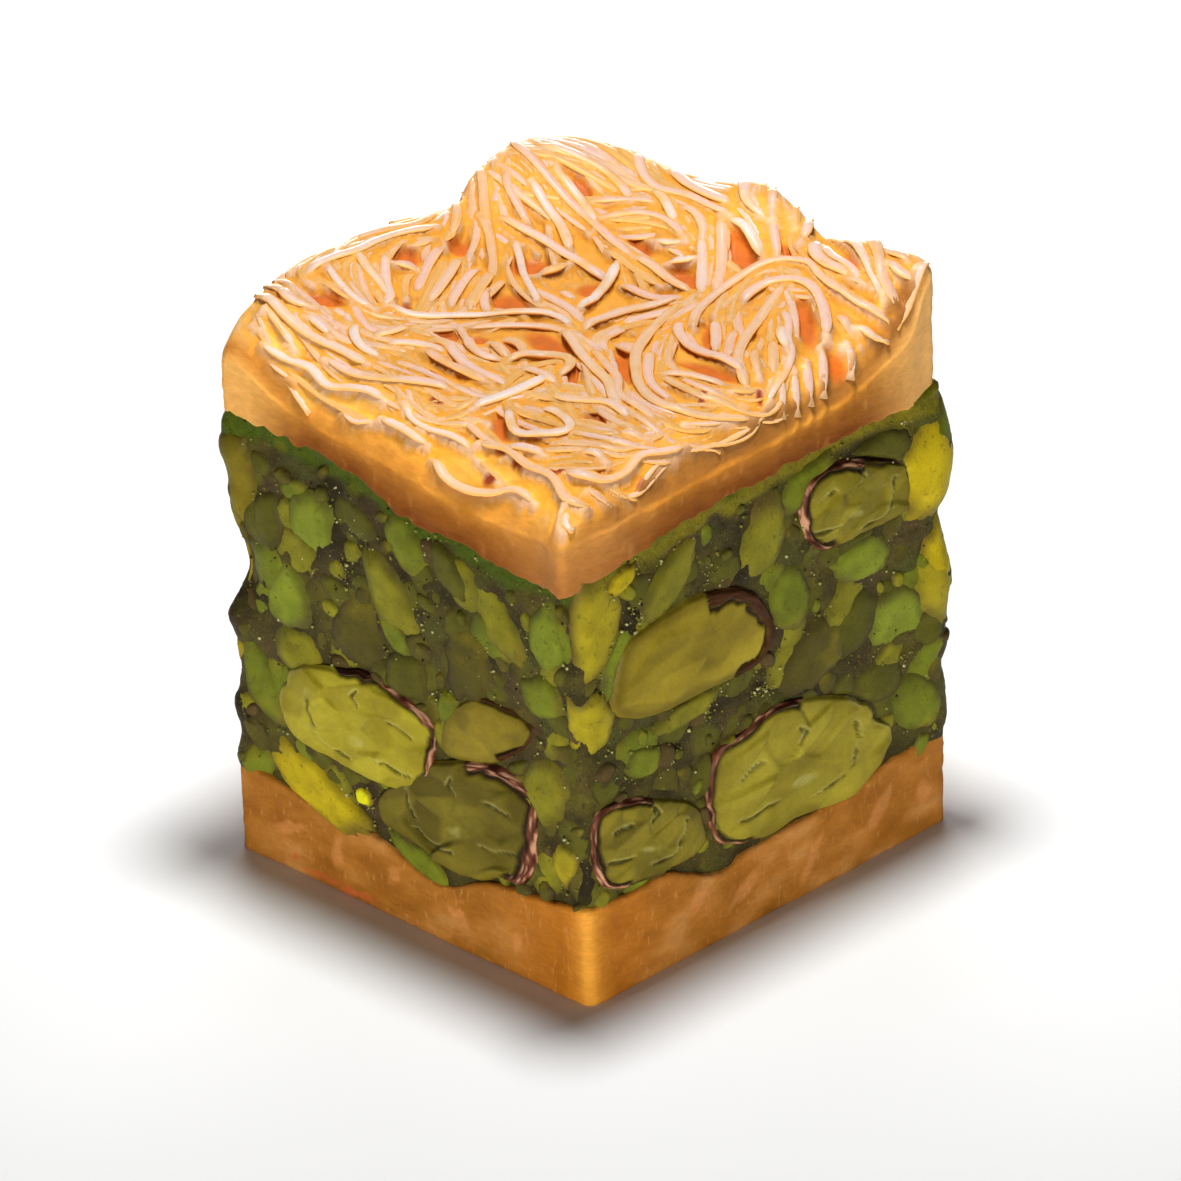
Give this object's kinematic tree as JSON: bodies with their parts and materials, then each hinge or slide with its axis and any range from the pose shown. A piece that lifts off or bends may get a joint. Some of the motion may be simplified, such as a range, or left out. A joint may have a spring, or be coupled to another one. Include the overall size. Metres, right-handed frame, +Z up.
{
  "type": "baklava piece",
  "caption": "Tall square of baklava: dense shredded-pastry base, thick pistachio filling with whole cut kernels at its sides, and a lid of tangled, glazed pastry threads.",
  "frame": {"origin": "on the table, at the middle of the piece's footprint", "axes": "+Z up; the side that faces -Y and the side that faces +X are the two cut sides seen in the picture, and the corner between them is nearest to its camera"},
  "size_m": [0.0378, 0.0379, 0.047],
  "materials": {
    "baked_base": "dense syrup-soaked shredded pastry, golden brown, fine grained where it is cut, satin",
    "nut_filling": "moist olive paste of ground pistachio packed with chopped green and yellow nuts, satin",
    "glazed_threads": "peach and cream pastry threads over an orange-gold glaze, glossy with syrup",
    "kernel": "cut pistachio kernel, yellow-green flesh with a thin purple-brown skin, waxy satin"
  },
  "bodies": {
    "root": {"bottom_pastry": "baked_base", "pistachio_filling": "nut_filling", "top_pastry": "glazed_threads", "pistachio_kernel_1": "kernel", "pistachio_kernel_2": "kernel", "pistachio_kernel_3": "kernel", "pistachio_kernel_4": "kernel", "pistachio_kernel_5": "kernel", "pistachio_kernel_6": "kernel", "pistachio_kernel_7": "kernel", "pistachio_kernel_8": "kernel", "pistachio_kernel_9": "kernel", "pistachio_kernel_10": "kernel", "pistachio_kernel_11": "kernel"}
  },
  "joints": []
}
